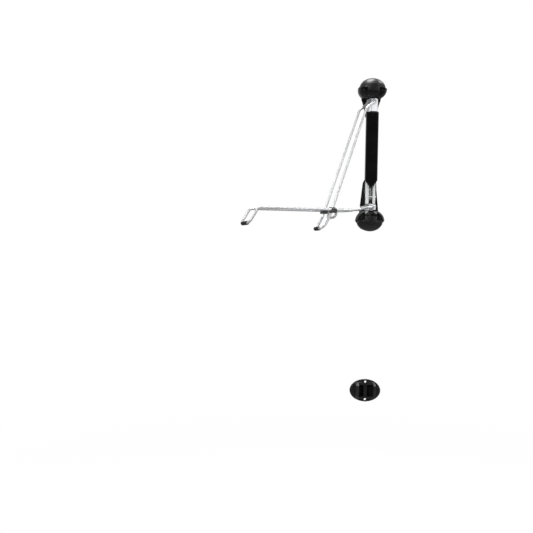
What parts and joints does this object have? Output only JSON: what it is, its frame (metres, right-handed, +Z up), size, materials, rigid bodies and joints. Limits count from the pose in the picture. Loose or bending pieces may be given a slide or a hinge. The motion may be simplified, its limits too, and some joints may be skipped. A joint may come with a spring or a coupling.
{
  "type": "vertical bike stand",
  "caption": "Wall-mounted upright bike rack whose swivelling, folding wire arms cradle the front wheel, with a separate tail rest for the rear tyre.",
  "frame": {"origin": "on the wall plane, midway between the rack's two wall-bolt holes", "axes": "+Z up along the rack, +Y into the wall, the room on the -Y side and +X to the right seen from the room"},
  "size_m": [0.5912, 0.2985, 1.3445],
  "materials": {
    "cover_black": "high gloss moulded",
    "housing_black": "gloss moulded",
    "cap_black": "satin moulded",
    "tail_black": "matte moulded",
    "zinc_sheet": "bright zinc plated sheet",
    "zinc_rod": "bright zinc plated rod",
    "bright_steel": "turned",
    "bolt_steel": "zinc plated fastener",
    "nylon_black": "moulded nylon",
    "rubber_black": "soft matte"
  },
  "bodies": {
    "rack": {"back_housing": "housing_black", "spine_channel": "zinc_sheet", "front_cover": "cover_black", "spine_screws": "bolt_steel", "channel_cross_bolt": "bright_steel", "shaft_guides": "nylon_black", "top_cap_base": "cap_black", "bottom_cap_base": "cap_black", "top_cap_dome": "cap_black", "bottom_cap_dome": "cap_black", "top_cap_plug": "cap_black", "bottom_cap_plug": "cap_black", "top_wall_bracket": "zinc_sheet", "bottom_wall_bracket": "zinc_sheet", "top_bush": "nylon_black", "bottom_bush": "nylon_black", "cap_screws": "bolt_steel", "tail_rest": "tail_black"},
    "swivel": {"pivot_shaft": "bright_steel", "top_bracket": "zinc_sheet", "bottom_bracket": "zinc_sheet", "top_spindle": "bright_steel", "bottom_spindle": "bright_steel", "top_hinge_bolt": "bolt_steel", "bottom_hinge_bolt": "bolt_steel", "hinge_nuts": "bolt_steel", "thrust_washers": "bolt_steel", "hinge_washers": "nylon_black"},
    "upper_arms": {"upper_arm": "zinc_rod", "upper_sleeve": "rubber_black", "link_hook_near": "nylon_black", "link_hook_far": "nylon_black"},
    "lower_arms": {"lower_arm": "zinc_rod", "lower_sleeve": "rubber_black"}
  },
  "joints": [
    {"name": "swivel_turn", "type": "hinge", "parent": "rack", "child": "swivel", "pos_m": [0, -0.044, 0], "axis": [0, 0, 1], "range_deg": [-7.5, 142.5]},
    {"name": "lower_arm_fold", "type": "hinge", "parent": "swivel", "child": "lower_arms", "pos_m": [0, -0.044, -0.216], "axis": [-0.3827, 0.9239, 0], "range_deg": [0, 84]},
    {"name": "upper_arm_fold", "type": "hinge", "parent": "swivel", "child": "upper_arms", "pos_m": [0, -0.044, 0.219], "axis": [0.3827, -0.9239, 0], "range_deg": [0, 12]}
  ],
  "couplings": [
    {"joint": "upper_arm_fold", "follows": "lower_arm_fold", "ratio": 0.14286}
  ]
}
